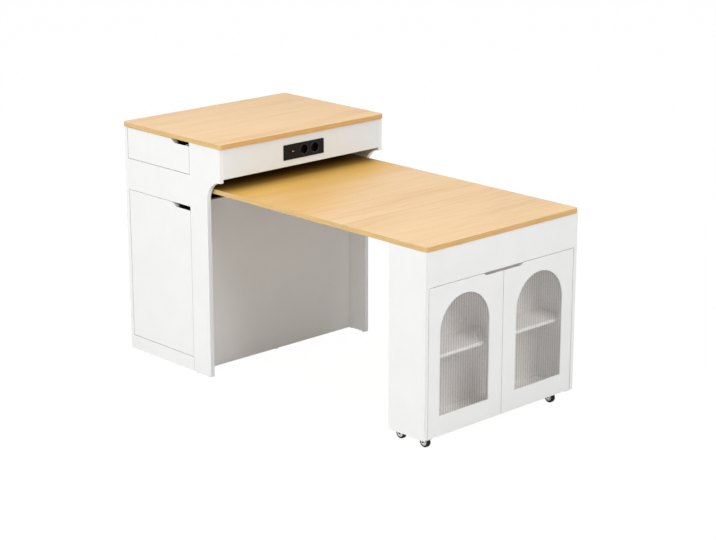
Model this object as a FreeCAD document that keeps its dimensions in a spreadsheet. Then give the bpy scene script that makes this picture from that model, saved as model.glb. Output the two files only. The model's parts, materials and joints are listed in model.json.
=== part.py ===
import FreeCAD, Part
import math
import os
from types import SimpleNamespace

import Sketcher
from FreeCAD import Rotation, Vector

# Kitchen island with an extension table on a rolling glass cabinet, in millimetres.
# +X is the way the table pulls out, +Y the island's far end, +Z up.
# The origin is on the floor under the middle of the whole outline.
# "near" pieces are at the -Y end and "far" pieces at the +Y end.

os.makedirs("parts", exist_ok=True)
doc = FreeCAD.newDocument("kitchen_island")
sheet = doc.addObject("Spreadsheet::Sheet", "sizes")

# Driving dimensions
driving = {
    # island body
    "island_height": 910,
    "island_width": 818,
    "island_depth": 568,
    "board": 18,
    "seam": 2,
    "edge_round": 1,
    "glide_height": 3,
    "glide_radius": 8,
    "glide_inset": 15,
    # island top
    "top_thick": 18,
    "top_side": 3.5,
    "top_back": 7,
    "top_front": 8,
    "top_corner": 15,
    "top_round": 1.5,
    # side panels and front beam
    "side_depth": 174,
    "side_foot": 99,
    "arm_drop": 12,
    "beam_height": 115,
    # recess and cupboards
    "recess_depth": 164,
    "plinth_height": 58,
    "door_lap": 14,
    "door_relief": 3,
    "shelf_level": 350,
    "shelf_thick": 16,
    "shelf_setback": 11,
    "shelf_play": 1,
    "shelf_pin_radius": 2.5,
    "shelf_pin_length": 16,
    "shelf_pin_inset": 50,
    # finger notches in the drawer fronts and doors
    "notch_length": 105,
    "notch_slant": 20,
    "notch_depth": 14,
    "notch_bevel": 8,
    # pivot pins of all doors
    "pivot_edge": 6.5,
    "pivot_face": 4.5,
    "pivot_radius": 2.25,
    "pivot_grip": 8,
    "pivot_play": 0.05,
    "pivot_end_play": 1,
    "door_shadow": 2,
    # drawers
    "drawer_front_height": 119,
    "drawer_side": 12,
    "drawer_headroom": 19,
    "drawer_tail_gap": 31,
    "drawer_floor": 6,
    "drawer_floor_lift": 8,
    "drawer_box_lift": 14,
    "runner_depth": 13,
    "runner_height": 30,
    "runner_metal": 1.2,
    "runner_end_gap": 1.8,
    "slide_play": 0.4,
    # power outlet
    "outlet_width": 202,
    "outlet_height": 58,
    "outlet_thick": 3,
    "outlet_corner": 3,
    "outlet_round": 1,
    "outlet_drop": 60.5,
    "outlet_pitch": 54,
    "outlet_box_depth": 40,
    "outlet_box_wall": 2,
    "outlet_box_play": 1.5,
    "socket_radius": 19.5,
    "socket_wall": 2,
    "socket_depth": 15,
    "socket_pin_radius": 2.6,
    "socket_pin_pitch": 19,
    "usb_width": 24,
    "usb_height": 14,
    "usb_depth": 14,
    "usb_flange": 2,
    "usb_play": 0.2,
    "usb_port_width": 13,
    "usb_port_height": 6,
    "usb_port_depth": 9,
    "usb_tongue": 2,
    # extension table
    "table_gap": 47,
    "table_thick": 18,
    "table_inset": 26.5,
    "table_reach": 1031,
    "table_run_in": 150,
    "table_corner": 15,
    "leaf_outer": 405,
    "leaf_seam": 1,
    "dowel_radius": 4,
    "dowel_length": 40,
    "dowel_play": 0.1,
    "dowel_pitch": 250,
    "table_stop_gap": 5,
    "rail_width": 18,
    "rail_lift": 4,
    "rail_offset": 235,
    "slide_bay": 52,
    "slide_headroom": 12,
    "slide_back_gap": 4,
    "slide_front_gap": 2,
    "slide_depth": 15,
    "slide_metal": 1.5,
    # rolling cabinet
    "cabinet_depth": 173,
    "cabinet_setback": 4,
    "cabinet_board": 16,
    "apron_height": 126,
    "apron_thick": 18,
    "cabinet_shelf_level": 314,
    "cabinet_shelf_thick": 12,
    "cabinet_shelf_setback": 14,
    "glass_door_thick": 18,
    "glass_door_lift": 1,
    "arch_inner_stile": 67,
    "arch_outer_stile": 54.5,
    "arch_sill": 72,
    "arch_head": 48,
    "slot_half_length": 99,
    "slot_slant": 10,
    "slot_depth": 8,
    "slot_bevel": 7,
    "pane_lip": 4,
    "pane_thick": 4,
    "pane_lap": 9,
    "pane_play": 0.5,
    "bead_width": 4,
    "pivot_tab_thick": 1.5,
    "pivot_tab_length": 40,
    "pivot_tab_width": 22,
    # casters
    "caster_front": 37,
    "caster_back": 21,
    "caster_tab_gap": 4,
    "caster_plate": 34,
    "caster_plate_thick": 2,
    "caster_race": 12,
    "caster_race_thick": 2,
    "caster_race_gap": 0.3,
    "caster_trail": 17,
    "caster_screw_radius": 2,
    "caster_screw_inset": 5,
    "wheel_headroom": 2.7,
    "wheel_radius": 20,
    "wheel_width": 17,
    "wheel_hub": 6,
    "wheel_rim": 12.5,
    "wheel_dish": 1.5,
    "wheel_round": 4,
    "wheel_bore_play": 0.05,
    "axle_radius": 2.5,
    "axle_head": 1.2,
    "fork_head": 14,
    "fork_head_thick": 3,
    "fork_ear": 1.8,
    "fork_ear_radius": 6,
    "fork_gap": 0.5,
    "stem_radius": 4,
    "stem_play": 0.05,
}


class Size:
    """A length, carried as its value and as the sheet expression behind it."""

    def __init__(self, value, text):
        self.value = value
        self.text = text

    def __add__(self, other):
        return merged(self, "+", other, self.value + value_of(other))

    def __radd__(self, other):
        return merged(other, "+", self, value_of(other) + self.value)

    def __sub__(self, other):
        return merged(self, "-", other, self.value - value_of(other))

    def __rsub__(self, other):
        return merged(other, "-", self, value_of(other) - self.value)

    def __mul__(self, other):
        return merged(self, "*", other, self.value * value_of(other))

    def __rmul__(self, other):
        return merged(other, "*", self, value_of(other) * self.value)

    def __truediv__(self, other):
        return merged(self, "/", other, self.value / value_of(other))

    def __neg__(self):
        return merged(0, "-", self, -self.value)


def value_of(size):
    return size.value if isinstance(size, Size) else size


def text_of(size):
    return size.text if isinstance(size, Size) else repr(size)


def merged(first, sign, second, value):
    return Size(value, f"({text_of(first)} {sign} {text_of(second)})")


def fill_sheet():
    """Write each driving dimension to its cell and return them all as sizes."""
    for row, (alias, number) in enumerate(driving.items(), start=1):
        sheet.set(f"A{row}", alias)
        sheet.set(f"B{row}", str(number))
        sheet.setAlias(f"B{row}", alias)
    doc.recompute()
    return SimpleNamespace(**{alias: Size(number, f"sizes.{alias}") for alias, number in driving.items()})


s = fill_sheet()
sides = {"near": -1, "far": 1}
subparts = []
close_enough = 1e-4


# Helpers that make and bind document objects

def bind(item, prop, size):
    item.setExpression(prop, text_of(size))


def place(item, x, y, z):
    for axis, size in zip("xyz", (x, y, z)):
        bind(item, f"Placement.Base.{axis}", size)
    return item


def keep(item, label):
    """Mark a finished object as one of the sub-parts."""
    item.Label = label
    subparts.append(item)
    return item


def box(name, x, y, z):
    """A block between two corners, each axis given as (low, high)."""
    item = doc.addObject("Part::Box", name)
    for prop, (low, high) in zip(("Length", "Width", "Height"), (x, y, z)):
        bind(item, prop, high - low)
    return place(item, x[0], y[0], z[0])


turns = {
    "x": Rotation(Vector(0, 1, 0), 90),
    "y": Rotation(Vector(1, 0, 0), -90),
    "z": Rotation(),
}


def rod(name, axis, radius, length, x, y, z):
    """A cylinder that starts at a point and runs along an axis."""
    item = doc.addObject("Part::Cylinder", name)
    item.Placement = FreeCAD.Placement(Vector(), turns[axis])
    bind(item, "Radius", radius)
    bind(item, "Height", length)
    return place(item, x, y, z)


def group(name, items):
    item = doc.addObject("Part::Compound", name)
    item.Links = items
    return item


def cut(name, base, tools):
    item = doc.addObject("Part::Cut", name)
    item.Base = base
    item.Tool = tools[0] if len(tools) == 1 else group(name + "_tools", tools)
    return item


def fuse(name, items):
    item = doc.addObject("Part::MultiFuse", name)
    item.Shapes = items
    return item


def across(side, inner, outer):
    """The Y span between two distances from the middle, at one end."""
    return (-outer, -inner) if side < 0 else (inner, outer)


def new_body(name, x, y, z):
    return place(doc.addObject("PartDesign::Body", name), x, y, z)


def new_sketch(body, plane, lift=0):
    item = body.newObject("Sketcher::SketchObject", body.Name + "_sketch")
    origin_plane = next(o for o in body.Origin.OriginFeatures if o.Role == plane + "_Plane")
    item.AttachmentSupport = (origin_plane, "")
    item.MapMode = "FlatFace"
    bind(item, "AttachmentOffset.Base.z", -lift if plane == "XZ" else lift)
    return item


def fix_point(sketch, geometry, point, u, v):
    """Hold a sketch point at bound distances from the sketch origin; None leaves one free."""
    for kind, size in (("DistanceX", u), ("DistanceY", v)):
        if size is None:
            continue
        distance = Sketcher.Constraint(kind, -1, 1, geometry, point, float(value_of(size)))
        number = sketch.addConstraint(distance)
        if isinstance(size, Size):
            bind(sketch, f"Constraints[{number}]", size)


def draw(sketch, path):
    """Draw a closed outline; a corner (u, v, centre, turn) is reached by an arc."""
    flat = [Vector(value_of(corner[0]), value_of(corner[1]), 0) for corner in path]
    first = sketch.GeometryCount
    ends = []
    for i, corner in enumerate(path):
        start, end = flat[i - 1], flat[i]
        if len(corner) == 2:
            sketch.addGeometry(Part.LineSegment(start, end), False)
            ends.append((1, 2))
            continue
        centre = Vector(value_of(corner[2][0]), value_of(corner[2][1]), 0)
        angles = [math.atan2(p.y - centre.y, p.x - centre.x) for p in (start, end)]
        if corner[3] == "right":
            angles.reverse()
        circle = Part.Circle(centre, Vector(0, 0, 1), (start - centre).Length)
        sketch.addGeometry(Part.ArcOfCircle(circle, angles[0], angles[1]), False)
        ends.append((1, 2) if corner[3] == "left" else (2, 1))
    for i, corner in enumerate(path):
        following = (i + 1) % len(path)
        sketch.addConstraint(Sketcher.Constraint(
            "Coincident", first + i, ends[i][1], first + following, ends[following][0]))
    for i, corner in enumerate(path):
        fix_point(sketch, first + i, ends[i][1], corner[0], corner[1])
        if len(corner) == 4:
            chord = flat[i] - flat[i - 1]
            level = abs(chord.x) > abs(chord.y) + close_enough
            fix_point(sketch, first + i, 3, None if level else corner[2][0], corner[2][1] if level else None)


def draw_circle(sketch, u, v, radius):
    centre = Vector(value_of(u), value_of(v), 0)
    number = sketch.addGeometry(Part.Circle(centre, Vector(0, 0, 1), value_of(radius)), False)
    fix_point(sketch, number, 3, u, v)
    held = sketch.addConstraint(Sketcher.Constraint("Radius", number, float(value_of(radius))))
    bind(sketch, f"Constraints[{held}]", radius)


def pad(body, plane, path, depth, lift=0):
    """Raise an outline from its plane towards the plus side."""
    profile = new_sketch(body, plane, lift)
    draw(profile, path)
    item = body.newObject("PartDesign::Pad", body.Name + "_pad")
    item.Profile = profile
    item.Reversed = plane == "XZ"
    bind(item, "Length", depth)
    return item


def pocket(body, plane, path, depth, lift=0, circles=()):
    """Cut an outline or round holes from their plane towards the plus side."""
    doc.recompute()
    before = body.Shape.Volume
    profile = new_sketch(body, plane, lift)
    if path:
        draw(profile, path)
    for u, v, radius in circles:
        draw_circle(profile, u, v, radius)
    item = body.newObject("PartDesign::Pocket", body.Name + "_pocket")
    item.Profile = profile
    item.Reversed = plane != "XZ"
    bind(item, "Length", depth)
    doc.recompute()
    if body.Shape.Volume >= before:
        raise RuntimeError(f"{body.Name}: a pocket removed nothing")
    return item


def revolve(body, plane, path):
    """Turn an outline once round the sketch's level axis."""
    profile = new_sketch(body, plane)
    draw(profile, path)
    item = body.newObject("PartDesign::Revolution", body.Name + "_turned")
    item.Profile = profile
    item.ReferenceAxis = (profile, ["H_Axis"])
    return item


def spans(axis, low, high):
    """Whether an edge reaches from one value of an axis to another."""
    def chosen(edge):
        bounds = edge.BoundBox
        found = getattr(bounds, axis + "Min"), getattr(bounds, axis + "Max")
        return all(abs(end - value_of(size)) < close_enough for end, size in zip(found, (low, high)))
    return chosen


def lies_on(axis, size):
    """Whether an edge lies in the plane where an axis has a given value."""
    return spans(axis, size, size)


def soften_face(body, radius, face, ledge, height):
    """Round a front's edges on one face, all but those of its finger grip."""
    grip = [lies_on("Z", ledge), spans("Z", ledge, height)]
    soften(body, radius, lambda edge: face(edge) and not any(test(edge) for test in grip))


def soften(body, radius, chosen):
    """Round the chosen edges of a body's last feature."""
    doc.recompute()
    tip = body.Tip
    names = [f"Edge{i}" for i, edge in enumerate(tip.Shape.Edges, start=1) if chosen(edge)]
    if not names:
        raise RuntimeError(f"{body.Name}: no edge to round")
    item = body.newObject("PartDesign::Fillet", body.Name + "_round")
    item.Base = (tip, names)
    bind(item, "Radius", radius)
    return item


def rectangle(u, v):
    return [(u[0], v[0]), (u[1], v[0]), (u[1], v[1]), (u[0], v[1])]


def rounded(length, width, r):
    """A rectangle from the sketch origin, with all four corners rounded."""
    return [
        (length - r, 0),
        (length, r, (length - r, r), "left"),
        (length, width - r),
        (length - r, width, (length - r, width - r), "left"),
        (r, width),
        (0, width - r, (r, width - r), "left"),
        (0, r),
        (r, 0, (r, r), "left"),
    ]


def channel(name, axis_x, y, z, metal, mouth):
    """A folded-metal channel along X or Y; mouth names the open side, such as y+."""
    blank = box(name + "_blank", axis_x, y, z)
    inner = {"x": axis_x, "y": y}
    along = "y" if mouth[0] == "x" else "x"
    low, high = inner[mouth[0]]
    inner[mouth[0]] = (low + metal, high + metal) if mouth[1] == "+" else (low - metal, high - metal)
    start, end = inner[along]
    inner[along] = (start - metal, end + metal)
    hollow = box(name + "_hollow", inner["x"], inner["y"], (z[0] + metal, z[1] - metal))
    return cut(name, blank, [hollow])


# Shared levels and planes of the island
front = (s.island_depth + s.top_back - s.table_reach) / 2
back = front - s.island_depth
half = s.island_width / 2
inside = half - s.board
bay_back = back + s.board
bay_front = front - s.side_depth
recess_face = front - s.recess_depth
body_top = s.island_height - s.top_thick
beam_bottom = body_top - s.beam_height
table_top = beam_bottom - s.table_gap
table_under = table_top - s.table_thick
cupboard_top = table_under - s.slide_bay
door_bottom = s.plinth_height + s.seam
door_top = cupboard_top - s.door_lap
middle_bottom = door_top + s.seam
drawer_top = body_top - s.seam
drawer_bottom = drawer_top - s.drawer_front_height
deck_top = drawer_bottom - s.seam
outlet_middle = body_top - s.outlet_drop
door_left = bay_back + s.seam
door_right = bay_front - s.seam
floor_panel_top = door_bottom + s.board


def make_island_top():
    left = back - s.top_back
    right = front + s.top_front
    width = s.island_width + 2 * s.top_side
    body = new_body("island_top", left, -width / 2, body_top)
    pad(body, "XY", rounded(right - left, width, s.top_corner), s.top_thick)
    ends = [lies_on("Z", 0), lies_on("Z", s.top_thick)]
    soften(body, s.top_round, lambda edge: any(test(edge) for test in ends))
    keep(body, "island_top")


def make_side_panels():
    arm = s.side_depth - s.side_foot
    height = body_top - s.glide_height
    spring = beam_bottom - s.arm_drop - arm - s.glide_height
    for end, side in sides.items():
        y = across(side, inside, half)
        body = new_body(f"side_panel_{end}", bay_front, y[0], s.glide_height)
        pad(body, "XZ", [
            (s.side_foot, 0),
            (s.side_foot, spring),
            (s.side_depth, spring + arm, (s.side_depth, spring), "right"),
            (s.side_depth, height),
            (0, height),
            (0, 0),
        ], s.board)
        outer = lies_on("Y", 0 if side < 0 else s.board)
        hidden = [lies_on("Z", height), lies_on("X", 0), lies_on("Z", 0)]
        soften(body, s.edge_round, lambda edge: outer(edge) and not any(test(edge) for test in hidden))
        keep(body, f"side_panel_{end}")


def make_back_panel():
    pins = shelf_pin_places()
    body = new_body("back_panel", back, -half, s.glide_height)
    height = body_top - s.glide_height
    pad(body, "XY", rectangle((0, s.board), (0, s.island_width)), height)
    holes = [(half + y, z - s.glide_height, s.shelf_pin_radius + s.pivot_play) for y, z in pins]
    pocket(body, "YZ", None, s.shelf_pin_length / 2, lift=s.board - s.shelf_pin_length / 2, circles=holes)
    outer = lies_on("X", 0)
    ends = [lies_on("Y", 0), lies_on("Y", s.island_width)]
    soften(body, s.edge_round, lambda edge: outer(edge) and any(test(edge) for test in ends))
    keep(body, "back_panel")


def make_front_beam():
    body = new_body("front_beam", front - s.board, -inside, beam_bottom)
    pad(body, "YZ", rectangle((0, 2 * inside), (0, s.beam_height)), s.board)
    u, v = outlet_cutout()
    window = rectangle((inside + u[0], inside + u[1]), (v[0] - beam_bottom, v[1] - beam_bottom))
    pocket(body, "YZ", window, s.board)
    face = lies_on("X", s.board)
    rims = [lies_on("Z", 0), lies_on("Y", 0), lies_on("Y", 2 * inside)]
    soften(body, s.edge_round, lambda edge: face(edge) and any(test(edge) for test in rims))
    keep(body, "front_beam")


def outlet_cutout():
    """The opening behind the face plate, as a Y span and a Z span."""
    z = s.socket_radius + s.socket_wall + s.outlet_box_play + s.outlet_box_wall
    y = s.outlet_pitch + z
    return (-y, y), (outlet_middle - z, outlet_middle + z)


def make_carcass():
    """The hidden boards that tie the island together."""
    bay = (bay_back, recess_face - s.board)
    wide = (-inside, inside)
    shadow = inside - s.door_shadow
    keep(box("bottom_panel", bay, (-shadow, shadow), (door_bottom, floor_panel_top)), "bottom_panel")
    make_cupboard_top(bay, wide)
    keep(box("drawer_deck", (bay_back, bay_front), wide, (deck_top - s.board, deck_top)), "drawer_deck")
    keep(box("runner_panel", (bay_front - s.board, bay_front), wide, (deck_top, body_top)), "runner_panel")
    partition = box("cupboard_partition", bay, (-s.board / 2, s.board / 2),
                    (floor_panel_top, cupboard_top - s.board))
    keep(partition, "cupboard_partition")


def make_cupboard_top(bay, wide):
    """The board over the cupboards, relieved below where the doors' rear corners swing past its ends."""
    low = cupboard_top - s.board
    board = box("cupboard_top_board", bay, wide, (low, cupboard_top))
    reliefs = []
    for end, side in sides.items():
        y = across(side, inside - s.door_relief, inside)
        reliefs.append(box(f"door_relief_{end}", bay, y, (low, middle_bottom)))
    keep(cut("cupboard_top", board, reliefs), "cupboard_top")


def make_recess_panel():
    body = new_body("recess_panel", recess_face - s.board, -inside, s.glide_height)
    pad(body, "YZ", rectangle((0, 2 * inside), (0, cupboard_top - s.glide_height)), s.board)
    radius = s.shelf_pin_radius + s.pivot_play
    holes = [(inside + y, z - s.glide_height, radius) for y, z in shelf_pin_places()]
    pocket(body, "YZ", None, s.shelf_pin_length / 2, circles=holes)
    keep(body, "recess_panel")


def shelf_pin_places():
    """Y and Z of each shelf pin, the same on both walls of the cupboards."""
    level = s.shelf_level - s.shelf_pin_radius
    inner = s.board / 2 + s.shelf_pin_inset
    outer = inside - s.shelf_setback - s.shelf_pin_inset
    return [(side * y, level) for side in sides.values() for y in (inner, outer)]


def make_shelves():
    x = (bay_back + s.shelf_play, recess_face - s.board - s.shelf_play)
    z = (s.shelf_level, s.shelf_level + s.shelf_thick)
    boards = []
    for end, side in sides.items():
        y = across(side, s.board / 2 + s.shelf_play, inside - s.shelf_setback)
        boards.append(box(f"shelf_{end}", x, y, z))
    keep(group("cupboard_shelves", boards), "cupboard_shelves")
    pins = []
    for x in (bay_back - s.shelf_pin_length / 2, recess_face - s.board - s.shelf_pin_length / 2):
        for y, z in shelf_pin_places():
            pins.append(rod("shelf_pin", "x", s.shelf_pin_radius, s.shelf_pin_length, x, y, z))
    keep(group("shelf_pins", pins), "shelf_pins")


def pivot_hole(name, x, y, low, high):
    return rod(name, "z", s.pivot_radius + s.pivot_play, high - low, x, y, low)


def cupboard_pivot(side):
    """X and Y of a cupboard door's pivot line."""
    return door_left + s.pivot_edge, side * (half - s.pivot_face)


def make_fixed_fronts():
    """Middle panels and plinths, drilled for the pivot pins of the cupboard doors."""
    middles, plinths = [], []
    for end, side in sides.items():
        y = across(side, inside, half)
        px, py = cupboard_pivot(side)
        middle = box(f"middle_blank_{end}", (bay_back, bay_front), y, (middle_bottom, deck_top))
        hole = pivot_hole(f"middle_hole_{end}", px, py, middle_bottom, middle_bottom + s.pivot_grip)
        middles.append(cut(f"middle_panel_{end}", middle, [hole]))
        plinth = box(f"plinth_blank_{end}", (bay_back, bay_front - s.seam / 2), y,
                     (s.glide_height, s.plinth_height))
        hole = pivot_hole(f"plinth_hole_{end}", px, py, s.plinth_height - s.pivot_grip, s.plinth_height)
        plinths.append(cut(f"plinth_{end}", plinth, [hole]))
    keep(group("middle_panels", middles), "middle_panels")
    keep(group("plinths", plinths), "plinths")


def make_glides():
    places = []
    for side in sides.values():
        y = side * (half - s.board / 2)
        places += [(bay_front + s.glide_inset, y), (bay_front + s.side_foot - s.glide_inset, y)]
        places.append((back + s.board / 2, side * (half - s.glide_inset)))
    places.append((back + s.board / 2, 0))
    places.append((recess_face - s.board / 2, 0))
    glides = [rod("glide", "z", s.glide_radius, s.glide_height, x, y, 0) for x, y in places]
    keep(group("floor_glides", glides), "floor_glides")


def make_pivot_pins():
    """The bottom pin carries the door, the top pin leaves room to lift it on."""
    pins = []
    for side in sides.values():
        x, y = cupboard_pivot(side)
        length = 2 * s.pivot_grip + s.seam
        free_end = door_top - s.pivot_grip + s.pivot_end_play
        pins.append(rod("top_pin", "z", s.pivot_radius, length - s.pivot_end_play, x, y, free_end))
        pins.append(rod("bottom_pin", "z", s.pivot_radius, length, x, y, s.plinth_height - s.pivot_grip))
    keep(group("door_pivot_pins", pins), "door_pivot_pins")


def notched(width, height):
    """A front with a slanted finger notch in its upper corner on the table's side."""
    return [
        (0, 0),
        (width, 0),
        (width, height - s.notch_depth),
        (width - s.notch_length + s.notch_slant, height - s.notch_depth),
        (width - s.notch_length, height),
        (0, height),
    ]


def make_notched_front(name, side, height, level):
    width = door_right - door_left
    body = new_body(name, door_left, across(side, inside, half)[0], level)
    pad(body, "XZ", notched(width, height), s.board)
    straight = s.notch_length - s.notch_slant
    y = (0, s.board) if side < 0 else (s.board, 0)
    bevel(body, y, height - s.notch_depth, s.notch_bevel, width - straight, straight)
    return body


def bevel(body, y, ledge, drop, start, length):
    """Slope a finger grip's ledge down from the outer face to the inner one."""
    pocket(body, "YZ", [(y[0], ledge), (y[1], ledge), (y[1], ledge - drop)], length, lift=start)


def make_cupboard_doors():
    for end, side in sides.items():
        name = f"cupboard_door_{end}"
        height = door_top - door_bottom
        body = make_notched_front(name, side, height, door_bottom)
        x = s.pivot_edge
        y = s.pivot_face if side < 0 else s.board - s.pivot_face
        hole = [(x, y, s.pivot_radius + s.pivot_play)]
        pocket(body, "XY", None, s.pivot_grip, circles=hole)
        pocket(body, "XY", None, s.pivot_grip, lift=height - s.pivot_grip, circles=hole)
        face = lies_on("Y", 0 if side < 0 else s.board)
        soften_face(body, s.edge_round, face, height - s.notch_depth, height)
        keep(body, name)


def make_drawers():
    left = bay_back + s.runner_depth
    right = bay_front - s.board - s.runner_depth
    low = deck_top + s.drawer_box_lift
    high = body_top - s.drawer_headroom
    tail = s.drawer_tail_gap
    fixed = []
    for end, side in sides.items():
        front_name = f"drawer_front_{end}"
        height = s.drawer_front_height
        body = make_notched_front(front_name, side, height, drawer_bottom)
        face = lies_on("Y", 0 if side < 0 else s.board)
        soften_face(body, s.edge_round, face, height - s.notch_depth, height)
        keep(body, front_name)
        y = across(side, tail, inside)
        walls = [box(f"drawer_left_{end}", (left, left + s.drawer_side), y, (low, high)),
                 box(f"drawer_right_{end}", (right - s.drawer_side, right), y, (low, high)),
                 box(f"drawer_back_{end}", (left + s.drawer_side, right - s.drawer_side),
                     across(side, tail, tail + s.drawer_side), (low, high))]
        keep(group(f"drawer_box_{end}", walls), f"drawer_box_{end}")
        base = low + s.drawer_floor_lift
        floor = box(f"drawer_bottom_{end}", (left + s.drawer_side, right - s.drawer_side),
                    across(side, tail + s.drawer_side, inside), (base, base + s.drawer_floor))
        keep(floor, f"drawer_bottom_{end}")
        middle = (low + high) / 2
        outer = s.runner_height / 2
        inner = outer - s.runner_metal - s.slide_play
        reach = s.runner_depth - s.runner_metal - s.runner_end_gap
        moving = []
        for name, wall, box_face, way in (("left", bay_back, left, 1),
                                          ("right", bay_front - s.board, right, -1)):
            fixed_x = (wall, wall + reach) if way > 0 else (wall - reach, wall)
            moving_x = (box_face - reach, box_face) if way > 0 else (box_face, box_face + reach)
            mouth, facing = ("x+", "x-") if way > 0 else ("x-", "x+")
            fixed.append(channel(f"rail_{name}_{end}", fixed_x, y, (middle - outer, middle + outer),
                                 s.runner_metal, mouth))
            moving.append(channel(f"runner_{name}_{end}", moving_x, y, (middle - inner, middle + inner),
                                  s.runner_metal, facing))
        keep(group(f"drawer_runners_{end}", moving), f"drawer_runners_{end}")
    keep(group("drawer_rails", fixed), "drawer_rails")


def make_outlet():
    """Face plate, socket wells, USB port and the housing behind the beam."""
    y = s.outlet_width / 2
    z = s.outlet_height / 2
    middle = outlet_middle
    body = new_body("outlet_plate", front, -y, middle - z)
    pad(body, "YZ", rounded(2 * y, 2 * z, s.outlet_corner), s.outlet_thick)
    holes = [(y, z, s.socket_radius), (y + s.outlet_pitch, z, s.socket_radius)]
    pocket(body, "YZ", None, s.outlet_thick, circles=holes)
    usb_u = y - s.outlet_pitch
    usb_y = s.usb_width / 2 + s.usb_play
    usb_z = s.usb_height / 2 + s.usb_play
    pocket(body, "YZ", rectangle((usb_u - usb_y, usb_u + usb_y), (z - usb_z, z + usb_z)), s.outlet_thick)
    soften(body, s.outlet_round, lies_on("X", s.outlet_thick))
    keep(body, "outlet_plate")

    wells = []
    for number, y_middle in enumerate((0, s.outlet_pitch), start=1):
        well = new_body(f"socket_well_{number}", front, y_middle, middle)
        outer = s.socket_radius + s.socket_wall
        revolve(well, "XZ", [
            (-s.socket_depth - s.socket_wall, 0),
            (-s.socket_depth - s.socket_wall, outer),
            (0, outer),
            (0, s.socket_radius),
            (-s.socket_depth, s.socket_radius),
            (-s.socket_depth, 0),
        ])
        pins = [(side * s.socket_pin_pitch / 2, 0, s.socket_pin_radius) for side in sides.values()]
        pocket(well, "YZ", None, s.socket_wall, lift=-s.socket_depth - s.socket_wall, circles=pins)
        wells.append(well)
    port = make_usb_port(-s.outlet_pitch, middle)
    keep(group("socket_inserts", wells + [port]), "socket_inserts")

    u, v = outlet_cutout()
    shell = box("outlet_box_shell", (front - s.outlet_box_depth, front), u, v)
    wall = s.outlet_box_wall
    hollow = box("outlet_box_hollow", (front - s.outlet_box_depth + wall, front + wall),
                 (u[0] + wall, u[1] - wall), (v[0] + wall, v[1] - wall))
    keep(cut("outlet_box", shell, [hollow]), "outlet_box")


def make_usb_port(y, z):
    half_y = s.usb_width / 2
    half_z = s.usb_height / 2
    port_y = s.usb_port_width / 2
    port_z = s.usb_port_height / 2
    face = front + s.outlet_thick
    flange = s.usb_flange
    block = box("usb_block", (front - s.usb_depth, face), (y - half_y, y + half_y), (z - half_z, z + half_z))
    lip = box("usb_lip", (front - flange, front), (y - half_y - flange, y + half_y + flange),
              (z - half_z - flange, z + half_z + flange))
    port = box("usb_port", (face - s.usb_port_depth, face + flange), (y - port_y, y + port_y),
               (z - port_z, z + port_z))
    tongue = box("usb_tongue", (face - s.usb_port_depth - flange, face - flange),
                 (y - port_y + s.usb_tongue, y + port_y - s.usb_tongue),
                 (z, z + s.usb_tongue))
    hollow = cut("usb_hollow", fuse("usb_blank", [block, lip]), [port])
    return fuse("usb_insert", [hollow, tongue])


# Shared planes of the table and the rolling cabinet
table_edge = half - s.table_inset
table_end = front + s.table_reach
table_start = front - s.table_run_in
table_travel = table_start - bay_back - s.table_stop_gap
leaf_joint = table_end - s.leaf_outer
cabinet_front = table_end - s.cabinet_setback
cabinet_rear = cabinet_front - s.cabinet_depth
cabinet_inside = table_edge - s.cabinet_board
cabinet_clear = (2 * s.wheel_radius + s.wheel_headroom + s.fork_head_thick + s.caster_race_gap
                 + s.caster_race_thick + s.caster_plate_thick)
apron_bottom = table_under - s.apron_height
door_back = cabinet_front - s.glass_door_thick
board_front = door_back - s.door_shadow
pane_back = cabinet_front - s.pane_lip - s.pane_thick
glass_door_bottom = cabinet_clear + s.glass_door_lift
glass_door_top = apron_bottom - s.seam


def dowel_places():
    return [-s.dowel_pitch, 0 * s.dowel_pitch, s.dowel_pitch]


def make_leaves():
    width = 2 * table_edge
    level = s.table_thick / 2
    hole_radius = s.dowel_radius + s.dowel_play
    holes = [(table_edge + y, level, hole_radius) for y in dowel_places()]
    r = s.table_corner
    rim = [lies_on("Z", 0), lies_on("Z", s.table_thick)]

    outer = new_body("table_leaf_outer", leaf_joint, -table_edge, table_under)
    pad(outer, "XY", [
        (s.leaf_outer - r, 0),
        (s.leaf_outer, r, (s.leaf_outer - r, r), "left"),
        (s.leaf_outer, width - r),
        (s.leaf_outer - r, width, (s.leaf_outer - r, width - r), "left"),
        (0, width),
        (0, 0),
    ], s.table_thick)
    pocket(outer, "YZ", None, s.dowel_length / 2, circles=holes)
    soften(outer, s.edge_round, lambda edge: any(test(edge) for test in rim))
    keep(outer, "table_leaf_outer")

    length = leaf_joint - s.leaf_seam - table_start
    inner = new_body("table_leaf_inner", table_start, -table_edge, table_under)
    pad(inner, "XY", rectangle((0, length), (0, width)), s.table_thick)
    depth = s.dowel_length / 2 - s.leaf_seam
    pocket(inner, "YZ", None, depth, lift=length - depth, circles=holes)
    soften(inner, s.edge_round, lambda edge: any(test(edge) for test in rim))
    keep(inner, "table_leaf_inner")

    middle = (table_top + table_under) / 2
    start = leaf_joint - s.dowel_length / 2
    dowels = [rod("leaf_dowel", "x", s.dowel_radius, s.dowel_length, start, y, middle)
              for y in dowel_places()]
    keep(group("leaf_dowels", dowels), "leaf_dowels")


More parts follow.
